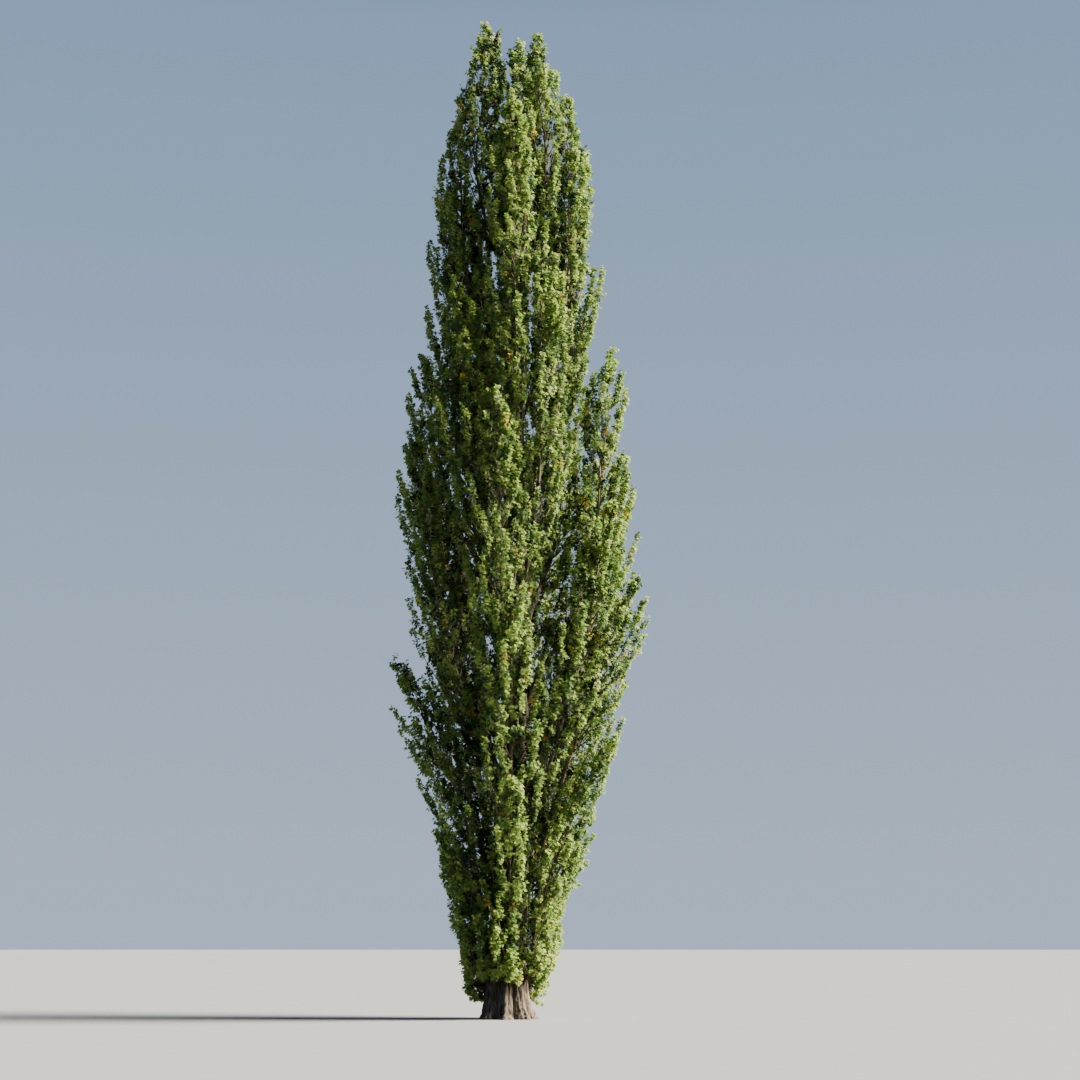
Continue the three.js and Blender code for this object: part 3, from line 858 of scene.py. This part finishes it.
def make_tree():
    """The whole tree, with old bark on the trunk and boughs and paler young bark on the branches."""
    materials = SimpleNamespace(
        # Furrow, ridge and crest colours of each bark: the furrows' dark is partly painted shade, the
        # crests' pale partly a painted highlight.
        old=bark_material("poplar_bark", "#2B241F", "#63594D", "#8D8071", **OLD_BARK),
        branch=bark_material("poplar_branch_bark", "#4A3F33", "#786B57", "#9D8F79", **YOUNG_BARK),
        twig=twig_material(),
        leaves=[leaf_material(name, code) for name, code in TINTS.items()],
    )
    trees = SimpleNamespace(limb=limb_tree(), leaf=leaf_tree(materials.leaves))
    plumes = make_plumes()
    _, paths, radii = bough_wire(plumes, SAMPLES)
    balls = (np.concatenate(paths), np.concatenate(radii))
    blade = leaf_blade()
    make_trunk(materials.old)
    make_boughs(plumes, trees.limb, materials.old)
    for tier in TIERS:
        make_tier(tier, [plume for plume in plumes if plume.tier == tier], balls, trees, materials, blade)
    bpy.data.objects.remove(blade)


# Camera at eye level, as far off and as tilted as in the photograph
CAMERA_PLACE = (0.817, -48.435, 1.6)
CAMERA_TILT = math.radians(11.478)
CAMERA_ANGLE = math.radians(30)
CAMERA_SIGHT = 20000


def make_camera():
    """The photograph's point of view."""
    data = bpy.data.cameras.new("camera")
    data.sensor_fit = "HORIZONTAL"
    data.angle = CAMERA_ANGLE
    data.clip_end = CAMERA_SIGHT
    camera = bpy.data.objects.new("camera", data)
    camera.location = CAMERA_PLACE
    camera.rotation_euler = (math.pi / 2 + CAMERA_TILT, 0, 0)
    bpy.context.scene.collection.objects.link(camera)
    bpy.context.scene.camera = camera


# Stage: a floor that reaches the horizon, a soft key light, and the surround's colours by height. Straight
# down is 0, the horizon is 0.5 and straight up is 1.
FLOOR_REACH = 6000
KEY_BEARING = math.radians(-5)
KEY_HEIGHT = math.radians(36)
KEY_STRENGTH = 26
KEY_SPREAD = math.radians(30)
SURROUND = [(0.49, "#2A2B26"), (0.5, "#AFC0D4"), (0.72, "#859FBF"), (0.78, "#2E3B4A"), (1.0, "#26303C")]
EXPOSURE = 0.15


def make_floor():
    """A pale matt floor, which throws no light back up on the tree."""
    material, _, shader = new_material("studio_floor", roughness=0.9, specular=0.1)
    shader.inputs["Base Color"].default_value = srgb("#85888C")
    corners = [(x * FLOOR_REACH, y * FLOOR_REACH, 0) for x, y in ((-1, -1), (1, -1), (1, 1), (-1, 1))]
    mesh = bpy.data.meshes.new("floor")
    mesh.from_pydata(corners, [], [(0, 1, 2, 3)])
    mesh.materials.append(material)
    floor = bpy.data.objects.new("floor", mesh)
    floor.visible_diffuse = False
    bpy.context.scene.collection.objects.link(floor)


def make_key_light():
    """One soft warm light from the right, a little in front of the tree."""
    data = bpy.data.lights.new("key", "SUN")
    data.energy = KEY_STRENGTH
    data.angle = KEY_SPREAD
    data.color = srgb("#FFF3E0")[:3]
    key = bpy.data.objects.new("key", data)
    towards = Vector((
        math.cos(KEY_HEIGHT) * math.cos(KEY_BEARING),
        math.cos(KEY_HEIGHT) * math.sin(KEY_BEARING),
        math.sin(KEY_HEIGHT),
    ))
    key.rotation_euler = towards.to_track_quat("Z", "Y").to_euler()
    bpy.context.scene.collection.objects.link(key)


def make_surround():
    """A plain backdrop, palest at the horizon, which also fills the shade with a cool light."""
    world = bpy.data.worlds.new("surround")
    world.use_nodes = True
    tree = world.node_tree
    aim = add_node(tree, "ShaderNodeTexCoord")
    parts = add_node(tree, "ShaderNodeSeparateXYZ", {"Vector": (aim, "Generated")})
    height = add_node(
        tree, "ShaderNodeMapRange", {"Value": (parts, "Z")}, {"From Min": -1.0, "From Max": 1.0},
    )
    shades = add_node(tree, "ShaderNodeValToRGB", {"Fac": (height, "Result")})
    set_ramp(shades.color_ramp, SURROUND)
    tree.links.new(shades.outputs["Color"], tree.nodes["Background"].inputs["Color"])
    bpy.context.scene.world = world
    bpy.context.scene.view_settings.view_transform = "AgX"
    bpy.context.scene.view_settings.exposure = EXPOSURE


make_tree()
make_camera()
make_floor()
make_key_light()
make_surround()
